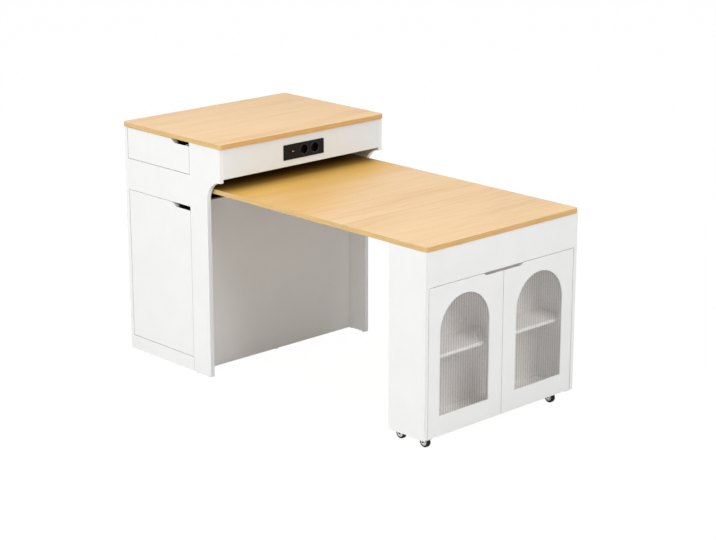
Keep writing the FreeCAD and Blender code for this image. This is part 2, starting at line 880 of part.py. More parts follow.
def make_table_rails_and_slides():
    """Rails under the leaves, carried by telescopic slides of three nested channels."""
    rails, fixed, middle, moving = [], [], [], []
    metal = s.slide_metal
    step = metal + s.slide_play
    slide_start = bay_back + s.slide_back_gap
    length = recess_face - s.slide_front_gap - slide_start
    outer = s.rail_offset + s.slide_depth
    for end, side in sides.items():
        y = across(side, s.rail_offset - s.rail_width, s.rail_offset)
        rails.append(box(f"table_rail_{end}", (table_start, cabinet_rear), y,
                         (cupboard_top + s.rail_lift, table_under)))
        mouth, facing = ("y+", "y-") if side < 0 else ("y-", "y+")
        z = (cupboard_top, table_under - s.slide_headroom)
        x = (slide_start, slide_start + length)
        y = across(side, s.rail_offset + step, outer)
        fixed.append(channel(f"slide_fixed_{end}", x, y, z, metal, mouth))
        x = (slide_start + table_travel / 2, slide_start + table_travel / 2 + length)
        y = across(side, s.rail_offset + step, outer - step)
        middle.append(channel(f"slide_middle_{end}", x, y, (z[0] + step, z[1] - step), metal, mouth))
        x = (slide_start + table_travel, slide_start + table_travel + length)
        y = across(side, s.rail_offset, outer - 2 * step)
        moving.append(channel(f"slide_moving_{end}", x, y, (z[0] + 2 * step, z[1] - 2 * step), metal, facing))
    keep(group("table_rails", rails), "table_rails")
    keep(group("slide_fixed_members", fixed), "slide_fixed_members")
    keep(group("slide_middle_members", middle), "slide_middle_members")
    keep(group("slide_moving_members", moving), "slide_moving_members")


def make_cabinet_boards():
    height = table_under - cabinet_clear
    depth = s.cabinet_depth
    apron = apron_bottom - cabinet_clear
    walls = []
    for end, side in sides.items():
        body = new_body(f"cabinet_side_{end}", cabinet_rear, across(side, cabinet_inside, table_edge)[0],
                        cabinet_clear)
        pad(body, "XZ", [
            (0, 0),
            (depth, 0),
            (depth, apron),
            (depth - s.apron_thick, apron),
            (depth - s.apron_thick, height),
            (0, height),
        ], s.cabinet_board)
        outer = lies_on("Y", 0 if side < 0 else s.cabinet_board)
        rims = [lies_on("X", depth), lies_on("X", 0), lies_on("Z", 0)]
        soften(body, s.edge_round, lambda edge: outer(edge) and any(test(edge) for test in rims))
        walls.append(body)
    keep(group("cabinet_sides", walls), "cabinet_sides")

    wide = (-cabinet_inside, cabinet_inside)
    rear = cabinet_rear + s.cabinet_board
    bottom = cabinet_clear
    floor = bottom + s.cabinet_board
    ceiling = apron_bottom + s.seam
    shelf = s.cabinet_shelf_level
    keep(box("cabinet_back", (cabinet_rear, rear), wide, (bottom, table_under)), "cabinet_back")
    keep(box("cabinet_bottom", (rear, board_front), wide, (bottom, floor)), "cabinet_bottom")
    keep(box("cabinet_ceiling", (rear, cabinet_front - s.apron_thick), wide,
             (ceiling, ceiling + s.cabinet_board)), "cabinet_ceiling")
    keep(box("cabinet_shelf", (rear, board_front - s.cabinet_shelf_setback), wide,
             (shelf, shelf + s.cabinet_shelf_thick)), "cabinet_shelf")
    make_apron()


def glass_pivot(side):
    """X and Y of a glass door's pivot line."""
    return cabinet_front - s.pivot_face, side * (cabinet_inside - s.seam - s.pivot_edge)


def make_apron():
    body = new_body("cabinet_apron", cabinet_front - s.apron_thick, -table_edge, apron_bottom)
    pad(body, "YZ", rectangle((0, 2 * table_edge), (0, s.apron_height)), s.apron_thick)
    holes = []
    for side in sides.values():
        x, y = glass_pivot(side)
        holes.append((x - cabinet_front + s.apron_thick, y + table_edge, s.pivot_radius + s.pivot_play))
    pocket(body, "XY", None, s.pivot_grip, circles=holes)
    face, top = lies_on("X", s.apron_thick), lies_on("Z", s.apron_height)
    soften(body, s.edge_round, lambda edge: face(edge) and not top(edge))
    keep(body, "cabinet_apron")


def arch(u_low, u_high, sill, spring):
    """A round-topped opening between two uprights."""
    radius = (u_high - u_low) / 2
    crown = (u_low + u_high) / 2
    return [
        (u_high, sill),
        (u_high, spring),
        (crown, spring + radius, (crown, spring), "left"),
        (u_low, spring, (crown, spring), "left"),
        (u_low, sill),
    ]


def make_glass_doors():
    """Frames with an arched opening, each pane in a rebate behind its lip, and the beads."""
    width = cabinet_inside - s.seam - s.seam / 2
    height = glass_door_top - glass_door_bottom
    for end, side in sides.items():
        y = across(side, s.seam / 2, s.seam / 2 + width)
        body = new_body(f"glass_door_{end}", door_back, y[0], glass_door_bottom)

        def u(distance):
            """A distance from the meeting edge, as a distance along the door."""
            return width - distance if side < 0 else distance

        meeting, outer_edge = u(0 * width), u(width)
        slot_far = s.slot_half_length - s.seam / 2
        outline = [
            (outer_edge, 0),
            (meeting, 0),
            (meeting, height - s.slot_depth),
            (u(slot_far - s.slot_slant), height - s.slot_depth),
            (u(slot_far), height),
            (outer_edge, height),
        ]
        pad(body, "YZ", outline, s.glass_door_thick)
        opening = sorted((u(s.arch_inner_stile), u(width - s.arch_outer_stile)), key=value_of)
        crown = height - s.arch_head
        spring = crown - (opening[1] - opening[0]) / 2
        pocket(body, "YZ", arch(opening[0], opening[1], s.arch_sill, spring), s.glass_door_thick)
        straight = slot_far - s.slot_slant
        ledge = height - s.slot_depth
        pocket(body, "XZ", [(s.glass_door_thick, ledge), (0, ledge), (0, ledge - s.slot_bevel)], straight,
               lift=width - straight if side < 0 else 0)
        lap = s.pane_lap + s.pane_play
        rebate = (opening[0] - lap, opening[1] + lap), (s.arch_sill - lap, crown + lap)
        pocket(body, "YZ", rectangle(*rebate), s.glass_door_thick - s.pane_lip)
        pivot_u = u(width - s.pivot_edge)
        hole = [(s.glass_door_thick - s.pivot_face, pivot_u, s.pivot_radius + s.pivot_play)]
        pocket(body, "XY", None, s.pivot_grip, circles=hole)
        pocket(body, "XY", None, s.pivot_grip, lift=height - s.pivot_grip, circles=hole)
        soften_face(body, s.edge_round, lies_on("X", s.glass_door_thick), ledge, height)
        keep(body, f"glass_door_frame_{end}")

        pane_u = (y[0] + opening[0] - s.pane_lap, y[0] + opening[1] + s.pane_lap)
        pane_v = (glass_door_bottom + s.arch_sill - s.pane_lap, glass_door_bottom + crown + s.pane_lap)
        pane = box(f"glass_pane_{end}", (pane_back, pane_back + s.pane_thick), pane_u, pane_v)
        keep(pane, f"glass_pane_{end}")
        corner = (y[0], glass_door_bottom)
        bead_y, bead_z = [[start + size for size in span] for start, span in zip(corner, rebate)]
        keep(make_beads(end, bead_y, bead_z), f"glass_beads_{end}")


def make_beads(end, y, z):
    """Four beads along the rebate's walls, behind the pane, that hold it to the lip."""
    x = (door_back, pane_back)
    width = s.bead_width
    inner_y = (y[0] + width, y[1] - width)
    return group(f"glass_beads_{end}", [
        box(f"bead_left_{end}", x, (y[0], inner_y[0]), z),
        box(f"bead_right_{end}", x, (inner_y[1], y[1]), z),
        box(f"bead_low_{end}", x, inner_y, (z[0], z[0] + width)),
        box(f"bead_high_{end}", x, inner_y, (z[1] - width, z[1])),
    ])


def make_glass_pivots():
    """A pin into the apron over each glass door, and a pin on a flat tab under it."""
    pieces = []
    for end, side in sides.items():
        x, y = glass_pivot(side)
        length = 2 * s.pivot_grip + s.seam - s.pivot_end_play
        pieces.append(rod(f"glass_top_pin_{end}", "z", s.pivot_radius, length, x, y,
                          glass_door_top - s.pivot_grip + s.pivot_end_play))
        under = cabinet_clear - s.pivot_tab_thick
        tab_x = (cabinet_front - s.pivot_tab_length, cabinet_front - s.edge_round)
        outer = cabinet_inside - s.seam
        tab = box(f"pivot_tab_{end}", tab_x, across(side, outer - s.pivot_tab_width, outer),
                  (under, cabinet_clear))
        pin_length = glass_door_bottom + s.pivot_grip - under
        pin = rod(f"tab_pin_{end}", "z", s.pivot_radius, pin_length, x, y, under)
        pieces.append(fuse(f"pivot_tab_pin_{end}", [tab, pin]))
    keep(group("glass_pivot_pins", pieces), "glass_pivot_pins")


def caster_places():
    """Pivot X and Y of the four casters, by name."""
    places = {}
    for end, side in sides.items():
        y = side * (cabinet_inside - s.seam - s.pivot_tab_width - s.caster_tab_gap - s.caster_plate / 2)
        places[f"front_{end}"] = (cabinet_front - s.caster_front, y)
        places[f"back_{end}"] = (cabinet_rear + s.caster_back, y)
    return places


def make_casters():
    under = cabinet_clear
    plate_bottom = under - s.caster_plate_thick
    race_bottom = plate_bottom - s.caster_race_thick
    head_top = race_bottom - s.caster_race_gap
    head_bottom = head_top - s.fork_head_thick
    plates = []
    for name, (x, y) in caster_places().items():
        plates.append(make_caster_plate(name, x, y, under, plate_bottom, race_bottom))
        keep(make_fork(name, x, y, under, head_top, head_bottom), f"caster_fork_{name}")
        make_wheel(name, x, y)
    keep(group("caster_plates", plates), "caster_plates")


def make_caster_plate(name, x, y, top, plate_bottom, race_bottom):
    reach = s.caster_plate / 2
    plate = box(f"plate_{name}", (x - reach, x + reach), (y - reach, y + reach), (plate_bottom, top))
    race = rod(f"race_{name}", "z", s.caster_race, plate_bottom - race_bottom, x, y, race_bottom)
    bore = rod(f"plate_bore_{name}", "z", s.stem_radius + s.stem_play, top - race_bottom, x, y, race_bottom)
    screw = reach - s.caster_screw_inset
    holes = [rod(f"plate_screw_{name}", "z", s.caster_screw_radius, top - plate_bottom,
                 x + a * screw, y + b * screw, plate_bottom) for a in (-1, 1) for b in (-1, 1)]
    return cut(f"caster_plate_{name}", fuse(f"plate_blank_{name}", [plate, race]), [bore] + holes)


def make_fork(name, x, y, top, head_top, head_bottom):
    """A swivel head with two ears down to the axle, and the axle itself."""
    gap = s.wheel_width / 2 + s.fork_gap
    outer = gap + s.fork_ear
    axle_x = x - s.caster_trail
    axle_z = s.wheel_radius
    head = rod(f"fork_head_{name}", "z", s.fork_head, s.fork_head_thick, x, y, head_bottom)
    stem = rod(f"fork_stem_{name}", "z", s.stem_radius, top - head_top, x, y, head_top)
    pieces = [head, stem]
    for low, high in ((-outer, -gap), (gap, outer)):
        ear = new_body(f"fork_ear_{name}", axle_x, y + low, axle_z)
        rise = head_top - axle_z
        r = s.fork_ear_radius
        far_side = s.caster_trail + r
        pad(ear, "XZ", [
            (far_side, rise - s.fork_head_thick),
            (far_side, rise),
            (0, rise),
            (-r, r),
            (-r, 0),
            (0, -r, (0, 0), "left"),
            (r, 0, (0, 0), "left"),
        ], s.fork_ear)
        pieces.append(ear)
    axle_hole = rod(f"fork_hole_{name}", "y", s.axle_radius, 2 * outer, axle_x, y - outer, axle_z)
    frame = cut(f"fork_frame_{name}", fuse(f"fork_blank_{name}", pieces), [axle_hole])
    axle_half = outer + s.axle_head
    axle = rod(f"axle_{name}", "y", s.axle_radius, 2 * axle_half, axle_x, y - axle_half, axle_z)
    return group(f"caster_fork_{name}", [frame, axle])


def make_wheel(name, x, y):
    w = s.wheel_width / 2
    big = s.wheel_radius
    r = s.wheel_round
    bore = s.axle_radius + s.wheel_bore_play
    dish = w - s.wheel_dish
    body = new_body(f"caster_wheel_{name}", x - s.caster_trail, y, big)
    revolve(body, "YZ", [
        (-w, bore),
        (w, bore),
        (w, s.wheel_hub),
        (dish, s.wheel_hub),
        (dish, s.wheel_rim),
        (w, s.wheel_rim),
        (w, big - r),
        (w - r, big, (w - r, big - r), "left"),
        (r - w, big),
        (-w, big - r, (r - w, big - r), "left"),
        (-w, s.wheel_rim),
        (-dish, s.wheel_rim),
        (-dish, s.wheel_hub),
        (-w, s.wheel_hub),
    ])
    keep(body, f"caster_wheel_{name}")


def check_all():
    """Stop if any object failed or any sub-part is not a valid closed shape."""
    doc.recompute()
    for item in doc.Objects:
        if "Invalid" in item.State or "Error" in item.State:
            raise RuntimeError(f"{item.Label}: {item.State}")
    for item in subparts:
        shape = item.Shape
        if shape.isNull() or not shape.isValid() or not shape.Solids:
            raise RuntimeError(f"{item.Label}: no valid solid")


make_island_top()
make_side_panels()
make_back_panel()
make_front_beam()
make_carcass()
make_recess_panel()
make_shelves()
make_fixed_fronts()
make_glides()
make_pivot_pins()
make_cupboard_doors()
make_drawers()
make_outlet()
make_leaves()
make_table_rails_and_slides()
make_cabinet_boards()
make_glass_doors()
make_glass_pivots()
make_casters()
check_all()

for item in subparts:
    item.Shape.exportStep(f"parts/{item.Label}.step")
print(len(subparts), "sub-parts written")
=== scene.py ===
import json
import math

import bmesh
import bpy
from mathutils import Matrix, Vector


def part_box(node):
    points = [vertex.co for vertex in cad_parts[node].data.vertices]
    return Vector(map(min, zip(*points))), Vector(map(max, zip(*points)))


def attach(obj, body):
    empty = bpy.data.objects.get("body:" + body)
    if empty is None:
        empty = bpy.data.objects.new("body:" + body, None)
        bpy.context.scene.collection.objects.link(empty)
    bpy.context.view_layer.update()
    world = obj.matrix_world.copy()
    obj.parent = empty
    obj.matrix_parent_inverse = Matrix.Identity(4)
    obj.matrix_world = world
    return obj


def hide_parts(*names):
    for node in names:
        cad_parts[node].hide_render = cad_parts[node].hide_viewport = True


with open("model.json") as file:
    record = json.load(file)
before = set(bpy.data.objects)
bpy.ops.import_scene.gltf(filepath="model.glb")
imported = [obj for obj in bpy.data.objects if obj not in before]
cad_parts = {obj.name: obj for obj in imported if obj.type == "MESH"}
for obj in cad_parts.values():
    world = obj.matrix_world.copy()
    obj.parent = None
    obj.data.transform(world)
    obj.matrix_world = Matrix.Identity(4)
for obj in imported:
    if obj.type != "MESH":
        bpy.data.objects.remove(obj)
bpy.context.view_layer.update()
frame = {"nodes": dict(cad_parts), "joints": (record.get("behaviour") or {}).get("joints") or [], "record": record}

mm = 0.001
white = (1, 1, 1)
scene = bpy.context.scene
nodes = frame["nodes"]
ends = ["near", "far"]
corners = ["front_near", "back_near", "front_far", "back_far"]


# shader maths: a wire is one output socket of a material's tree

class Wire:
    def __init__(self, tree, socket=None):
        self.tree = tree
        self.socket = socket

    def node(self, kind, settings=None, sockets=None, output=0):
        made = self.tree.nodes.new(kind)
        for name, value in (settings or {}).items():
            if name == "stops":
                fillRamp(made.color_ramp, value)
            else:
                setattr(made, name, value)
        for name, value in (sockets or {}).items():
            if isinstance(value, Wire):
                self.tree.links.new(value.socket, made.inputs[name])
            else:
                made.inputs[name].default_value = value
        return Wire(self.tree, made.outputs[output] if made.outputs else None)

    def maths(self, operation, first, second):
        return self.node("ShaderNodeMath", {"operation": operation}, {0: first, 1: second})

    def __add__(self, other):
        return self.maths("ADD", self, other)

    def __radd__(self, other):
        return self.maths("ADD", other, self)

    def __sub__(self, other):
        return self.maths("SUBTRACT", self, other)

    def __rsub__(self, other):
        return self.maths("SUBTRACT", other, self)

    def __mul__(self, other):
        return self.maths("MULTIPLY", self, other)

    def __rmul__(self, other):
        return self.maths("MULTIPLY", other, self)

    def __neg__(self):
        return self.maths("MULTIPLY", self, -1)

    def __gt__(self, other):
        return self.maths("GREATER_THAN", self, other)

    def axis(self, index):
        return self.node("ShaderNodeSeparateXYZ", {}, {0: self}, index)

    def colour(self, first, second):
        # this wire picks between two colours
        return self.node("ShaderNodeMix", {"data_type": "RGBA"}, {0: self, 6: first, 7: second}, 2)

    def ramp(self, *stops):
        return self.node("ShaderNodeValToRGB", {"stops": stops}, {0: self})

    def smooth(self, low, high):
        smooth = {"interpolation_type": "SMOOTHSTEP"}
        return self.node("ShaderNodeMapRange", smooth, {0: self, 1: low, 2: high})

    def scaled(self, x, y, z):
        return self.node("ShaderNodeVectorMath", {"operation": "MULTIPLY"}, {0: self, 1: (x, y, z)})

    def moved(self, x, y, z):
        return self.node("ShaderNodeVectorMath", {"operation": "ADD"}, {0: self, 1: (x, y, z)})

    def noise(self, scale, detail, roughness=0.5, output=0):
        return self.node("ShaderNodeTexNoise", {}, {
            "Vector": self, "Scale": scale, "Detail": detail, "Roughness": roughness}, output)

    def grain(self, stretch, detail, roughness=0.5, output=0):
        # noise with a scale of its own along each axis
        return self.scaled(*stretch).noise(1, detail, roughness, output)

    def fraction(self):
        return self.node("ShaderNodeMath", {"operation": "FRACT"}, {0: self})

    def size(self):
        return self.node("ShaderNodeMath", {"operation": "ABSOLUTE"}, {0: self})

    def bump(self, distance, strength):
        sockets = {"Height": self, "Distance": distance, "Strength": strength}
        return self.node("ShaderNodeBump", {}, sockets)


def fillRamp(ramp, stops):
    while len(ramp.elements) < len(stops):
        ramp.elements.new(1)
    for element, (position, shade) in zip(ramp.elements, stops):
        element.position = position
        element.color = shade


def newMaterial(name):
    material = bpy.data.materials.new(name)
    material.use_nodes = True
    material.node_tree.nodes.clear()
    start = Wire(material.node_tree)
    place = start.node("ShaderNodeTexCoord", output=3)
    return material, start, place


def finished(material, start, sockets):
    surface = start.node("ShaderNodeBsdfPrincipled", {}, sockets)
    start.node("ShaderNodeOutputMaterial", {}, {"Surface": surface})
    return material


def rgb(colour, share=1):
    return (*[value * share for value in colour], 1)


# finishes: a noise is its scale, detail and roughness, a range where it starts and ends, a bump its
# depth and strength

whiteLacquerLook = {"base": (0.88, 0.88, 0.87), "shade": (0.864, 0.864, 0.853), "roughness": 0.38}
# painted light: the beam gets a bluer copy of the white lacquer that cancels the warm light the oak table bounces
# onto it
coolLacquerLook = {"base": (0.815, 0.865, 0.905), "shade": (0.80, 0.85, 0.885), "roughness": 0.38}
# painted light: whiter copies of the white lacquer for boards that stand in shade under the table and inside the
# cabinet
whiteBoardLook = {"base": (0.935, 0.935, 0.925), "shade": (0.92, 0.92, 0.91), "roughness": 0.5}
cabinetBoardLook = {"base": (0.95, 0.925, 0.90), "shade": (0.94, 0.91, 0.885), "roughness": 0.5}
# painted light: a cooler tint for the side panels' front edges, against the warm light bounced onto them
frontEdgeTintLook = {"base": (0.885, 0.905, 0.925), "shade": (0.875, 0.895, 0.915)}
# painted light: a brighter white for the shelf's front edge seen through the glass
shelfEdgeLitLook = {"base": (0.99, 0.985, 0.975), "shade": (0.985, 0.98, 0.97)}
lacquerCoat = {
    "cloud": (9, 3),
    "cloudRange": (0.3, 0.7),
    "cloudGloss": 0.04,
    "rub": (60, 5, 0.7),
    "rubRoughness": 0.10,
    "peel": (900, 2, 0.4),
    "peelBump": (0.04 * mm, 0.5),
    "edgeRange": (0.7, 0.95),
}


def makeLacquer(name, look, edgeLook=None):
    # an edge look recolours the faces toward +X, the boards' front edges: painted light, a cooler tint that
    # cancels warm bounced light on the side panels and a brighter white on the shelf's edge
    coat = lacquerCoat
    material, start, place = newMaterial(name)
    cloud = place.noise(*coat["cloud"])
    rub = place.noise(*coat["rub"])
    clouded = cloud.smooth(*coat["cloudRange"])
    colour = clouded.colour(rgb(look["shade"]), rgb(look["base"]))
    if edgeLook:
        edgeColour = clouded.colour(rgb(edgeLook["shade"]), rgb(edgeLook["base"]))
        toFront = start.node("ShaderNodeNewGeometry", output=1).axis(0)
        colour = toFront.smooth(*coat["edgeRange"]).colour(colour, edgeColour)
    rough = look["roughness"] + rub * coat["rubRoughness"] - cloud * coat["cloudGloss"]
    return finished(material, start, {
        "Base Color": colour, "Roughness": rough,
        "Normal": place.noise(*coat["peel"]).bump(*coat["peelBump"])})


bayShadeLook = {
    "base": (0.030, 0.026, 0.024),
    "chip": (0.055, 0.045, 0.038),
    "chips": ((260, 260, 260), 3, 0.7),
    "chipRange": (0.55, 0.68),
    "fuzz": (900, 3, 0.6),
    "fuzzBump": (0.1 * mm, 0.5),
    "roughness": 0.7,
    "fuzzRoughness": 0.15,
}


def makeBayShade():
    # painted shade: near-black board inside the table's bay, standing in for the deep shade there, faintly
    # speckled with chips
    look = bayShadeLook
    material, start, place = newMaterial("bayShadeBoard")
    chips = place.grain(*look["chips"]).smooth(*look["chipRange"])
    fuzz = place.noise(*look["fuzz"])
    return finished(material, start, {
        "Base Color": chips.colour(rgb(look["base"]), rgb(look["chip"])),
        "Roughness": look["roughness"] + fuzz * look["fuzzRoughness"],
        "Normal": fuzz.bump(*look["fuzzBump"])})


oakLook = {
    "light": (0.825, 0.575, 0.322),
    "middle": (0.785, 0.535, 0.290),
    "dark": (0.665, 0.415, 0.197),
    "pore": (0.47, 0.26, 0.105),
    "edgeColour": (0.74, 0.46, 0.17),
    "bandDark": (0.62, 0.36, 0.12),
    # painted light: the band on faces toward ±Y is lighter than on the ends
    "sideBand": (0.73, 0.497, 0.21),
    "sideBandDark": (0.635, 0.415, 0.16),
    "stops": (0.36, 0.50, 0.62),        # of the grain's dark, middle and light
    "wander": ((5, 1.6, 5), 2),
    "wanderReach": 0.016,
    "tone": ((16, 1.4, 16), 3, 0.55),
    "toneShare": 0.35,
    "streak": ((150, 4.6, 60), 6, 0.62),
    "streakShare": 0.45,
    "fine": ((520, 12, 200), 4, 0.6),
    "fineShare": 0.20,
    "pores": ((1500, 38, 300), 2, 0.5),
    "poreLeast": 0.66,
    "poreRange": (0.42, 0.6),
    "poreShare": 0.45,
    "bandGrain": ((14, 14, 420), 4, 0.6),
    "bandRange": (0.3, 0.7),
    "flatRange": (0.55, 0.9),
    "sideRange": (0.5, 0.9),
    "roughness": 0.44,
    "fineRoughness": 0.12,
    "poreRoughness": 0.15,
    "streakRelief": 0.6,
    "fineRelief": 0.4,
    "poreRelief": 0.5,
    "bump": (0.12 * mm, 0.6),
}
# painted shade that the beam and the island cast over the inner leaf
beamShadeLook = {
    "amber": (0.75, 0.465, 0.17),
    "amberDark": (0.655, 0.385, 0.125),
    "slant": 0.52,
    "amberRange": (-0.17, 0.07),        # metres toward the leaf's inner end
    "gold": (0.71, 0.43, 0.098),
    "goldDark": (0.62, 0.355, 0.07),
    "goldRange": (0.0, 0.17),
    "brown": (0.22, 0.10, 0.004),
    "brownRange": (0.15, 0.34),
}


def paintBeamShade(face, mixed, across, along):
    # painted shade: a warm amber, gold and then near-black brown shade painted onto the leaf where the beam shades
    # it, deepening towards the leaf's inner end and reaching further out at its near side
    look = beamShadeLook
    low, high = oakLook["stops"][0], oakLook["stops"][2]
    amber = mixed.ramp((low, rgb(look["amberDark"])), (high, rgb(look["amber"])))
    gold = mixed.ramp((low, rgb(look["goldDark"])), (high, rgb(look["gold"])))
    inward = -across
    face = (inward - along * look["slant"]).smooth(*look["amberRange"]).colour(face, amber)
    face = inward.smooth(*look["goldRange"]).colour(face, gold)
    return inward.smooth(*look["brownRange"]).colour(face, rgb(look["brown"]))


def makeOak(name, shift, shade=1, shadedByBeam=False):
    # the grain runs across the object, along Y, on the flat faces and along the band on the edges
    look = oakLook
    material, start, place = newMaterial(name)
    across, along = place.axis(0), place.axis(1)
    place = place.moved(*shift)
    # noise runs from 0 to 1, so half is taken off before it pushes the grain either way
    wander = place.grain(*look["wander"], output=1).moved(-0.5, -0.5, -0.5)
    wander = wander.scaled(look["wanderReach"], 0, 0)
    bent = place.node("ShaderNodeVectorMath", {"operation": "ADD"}, {0: place, 1: wander})
    tone, streak, fine = (bent.grain(*look[part]) for part in ("tone", "streak", "fine"))
    mixed = tone * look["toneShare"] + streak * look["streakShare"] + fine * look["fineShare"]
    # a shade below 1 makes a darker copy of the oak: painted shade
    tones = [rgb(look[part], shade) for part in ("dark", "middle", "light")]
    face = mixed.ramp(*zip(look["stops"], tones))
    # the inner leaf gets the beam's painted shade
    if shadedByBeam:
        face = paintBeamShade(face, mixed, across, along)
    pores = (bent.grain(*look["pores"]) > look["poreLeast"]) * streak.smooth(*look["poreRange"])
    face = (pores * look["poreShare"]).colour(face, rgb(look["pore"]))

    facing = start.node("ShaderNodeNewGeometry", output=1)
    flat = facing.axis(2).size().smooth(*look["flatRange"])
    # the darker band on the edges is the wood's own; its lighter colour on faces toward ±Y is painted light
    sideways = facing.axis(1).size().smooth(*look["sideRange"])
    bandGrain = place.grain(*look["bandGrain"]).smooth(*look["bandRange"])
    endBand = bandGrain.colour(rgb(look["bandDark"]), rgb(look["edgeColour"]))
    sideBand = bandGrain.colour(rgb(look["sideBandDark"]), rgb(look["sideBand"]))
    colour = flat.colour(sideways.colour(endBand, sideBand), face)
    height = streak * look["streakRelief"] + fine * look["fineRelief"] - pores * look["poreRelief"]
    rough = look["roughness"] + fine * look["fineRoughness"] + pores * look["poreRoughness"]
    return finished(material, start, {
        "Base Color": colour, "Roughness": rough, "Normal": height.bump(*look["bump"])})


timberLook = {
    "grain": ((4, 90, 90), 5, 0.6),
    "grainShare": 0.7,
    "fine": ((20, 450, 450), 3, 0.6),
    "fineShare": 0.3,
    "range": (0.3, 0.7),
    "roughness": 0.6,
    "fineRoughness": 0.1,
    "bump": (0.1 * mm, 0.5),
}


def makeTimber(name, light, dark):
    # plain sanded wood whose grain runs along X
    look = timberLook
    material, start, place = newMaterial(name)
    grain, fine = place.grain(*look["grain"]), place.grain(*look["fine"])
    mixed = grain * look["grainShare"] + fine * look["fineShare"]
    return finished(material, start, {
        "Base Color": mixed.smooth(*look["range"]).colour(rgb(dark), rgb(light)),
        "Roughness": look["roughness"] + fine * look["fineRoughness"],
        "Normal": fine.bump(*look["bump"])})


plasticLook = {
    "cloud": (70, 4, 0.6),
    "cloudRange": (0.3, 0.7),
    "cloudShade": 0.88,
    "cloudRoughness": 0.12,
    "spark": (2600, 2, 0.5),
    "sparkBump": (0.03 * mm, 0.6),
}


def makePlastic(name, base, roughness, gloss=0.5):
    look = plasticLook
    material, start, place = newMaterial(name)
    cloud = place.noise(*look["cloud"])
    clouded = cloud.smooth(*look["cloudRange"])
    return finished(material, start, {
        "Base Color": clouded.colour(rgb(base, look["cloudShade"]), rgb(base)),
        "Roughness": roughness + cloud * look["cloudRoughness"], "Specular IOR Level": gloss,
        "Normal": place.noise(*look["spark"]).bump(*look["sparkBump"])})


metalLook = {
    "across": 1600,
    "along": 30,
    "lines": (3, 0.6),
    "lineRoughness": 0.14,
    "lineBump": (0.02 * mm, 0.5),
    "cloud": (45, 4, 0.6),
    "cloudRange": (0.25, 0.75),
    "cloudShade": 0.82,
    "cloudRoughness": 0.08,
}


def makeMetal(name, base, roughness, along):
    # rolled sheet metal: fine lines along one axis, cloudy plating
    look = metalLook
    material, start, place = newMaterial(name)
    stretch = [look["along"] if axis == along else look["across"] for axis in range(3)]
    lines = place.grain(stretch, *look["lines"])
    cloud = place.noise(*look["cloud"])
    clouded = cloud.smooth(*look["cloudRange"])
    return finished(material, start, {
        "Base Color": clouded.colour(rgb(base, look["cloudShade"]), rgb(base)),
        "Metallic": 1.0,
        "Roughness": roughness + lines * look["lineRoughness"] + cloud * look["cloudRoughness"],
        "Normal": lines.bump(*look["lineBump"])})


rubberLook = {
    "base": (0.010, 0.010, 0.010),
    "dusty": (0.032, 0.031, 0.030),
    "scuff": (240, 5, 0.7),
    "scuffShare": 0.6,
    "dust": (900, 3, 0.6),
    "dustShare": 0.4,
    "range": (0.4, 0.8),
    "gloss": 0.2,
    "roughness": 0.55,
    "scuffRoughness": 0.2,
    "bump": (0.05 * mm, 0.6),
}


def makeRubber():
    look = rubberLook
    material, start, place = newMaterial("tyreRubber")
    scuff, dust = place.noise(*look["scuff"]), place.noise(*look["dust"])
    dusty = (scuff * look["scuffShare"] + dust * look["dustShare"]).smooth(*look["range"])
    return finished(material, start, {
        "Base Color": dusty.colour(rgb(look["base"]), rgb(look["dusty"])),
        "Roughness": look["roughness"] + scuff * look["scuffRoughness"],
        "Specular IOR Level": look["gloss"], "Normal": dust.bump(*look["bump"])})


reedLook = {
    "pitch": 11.9 * mm,
    "depth": 1.2 * mm,
    "steps": 8,
    "light": (0.92, 0.875, 0.84),
    # painted shade for the reeds' valleys
    "dark": (0.28, 0.25, 0.23),
    "darkRange": (0.1, 0.8),
    "crest": 0.05,
    "valley": 0.39,
    "wave": ((60, 60, 3), 2),
    "waveDensity": 0.04,
    "waveBump": (0.2 * mm, 0.3),
    "roughness": 0.12,
    "ior": 1.45,
}


def makeReededGlass():
    # painted shade: clear on the crest of each reed, greyer and denser in the valley between two reeds, standing
    # in for the dark lines that the reeds' refraction draws
    look = reedLook
    material, start, place = newMaterial("reededGlass")
    fromCrest = (place.axis(1) * (1 / look["pitch"])).fraction() - 0.5
    flank = (fromCrest * fromCrest) * 4
    valley = flank * flank
    wave = place.grain(*look["wave"])
    density = look["crest"] + valley * (look["valley"] - look["crest"]) + wave * look["waveDensity"]
    return finished(material, start, {
        "Base Color": valley.smooth(*look["darkRange"]).colour(rgb(look["light"]), rgb(look["dark"])),
        "Roughness": look["roughness"], "Alpha": density, "IOR": look["ior"],
        "Normal": wave.bump(*look["waveBump"])})


whiteLacquer = makeLacquer("whiteLacquer", whiteLacquerLook)
coolLacquer = makeLacquer("coolLacquer", coolLacquerLook)
panelLacquer = makeLacquer("panelLacquer", whiteLacquerLook, frontEdgeTintLook)
whiteBoard = makeLacquer("whiteBoard", whiteBoardLook)
cabinetBoard = makeLacquer("cabinetBoard", cabinetBoardLook)
shelfBoard = makeLacquer("shelfBoard", cabinetBoardLook, shelfEdgeLitLook)
# painted shade for the bay's inner boards
bayShadeBoard = makeBayShade()
oakTop = makeOak("oakTop", shift=(0.3, 0.1, 0))
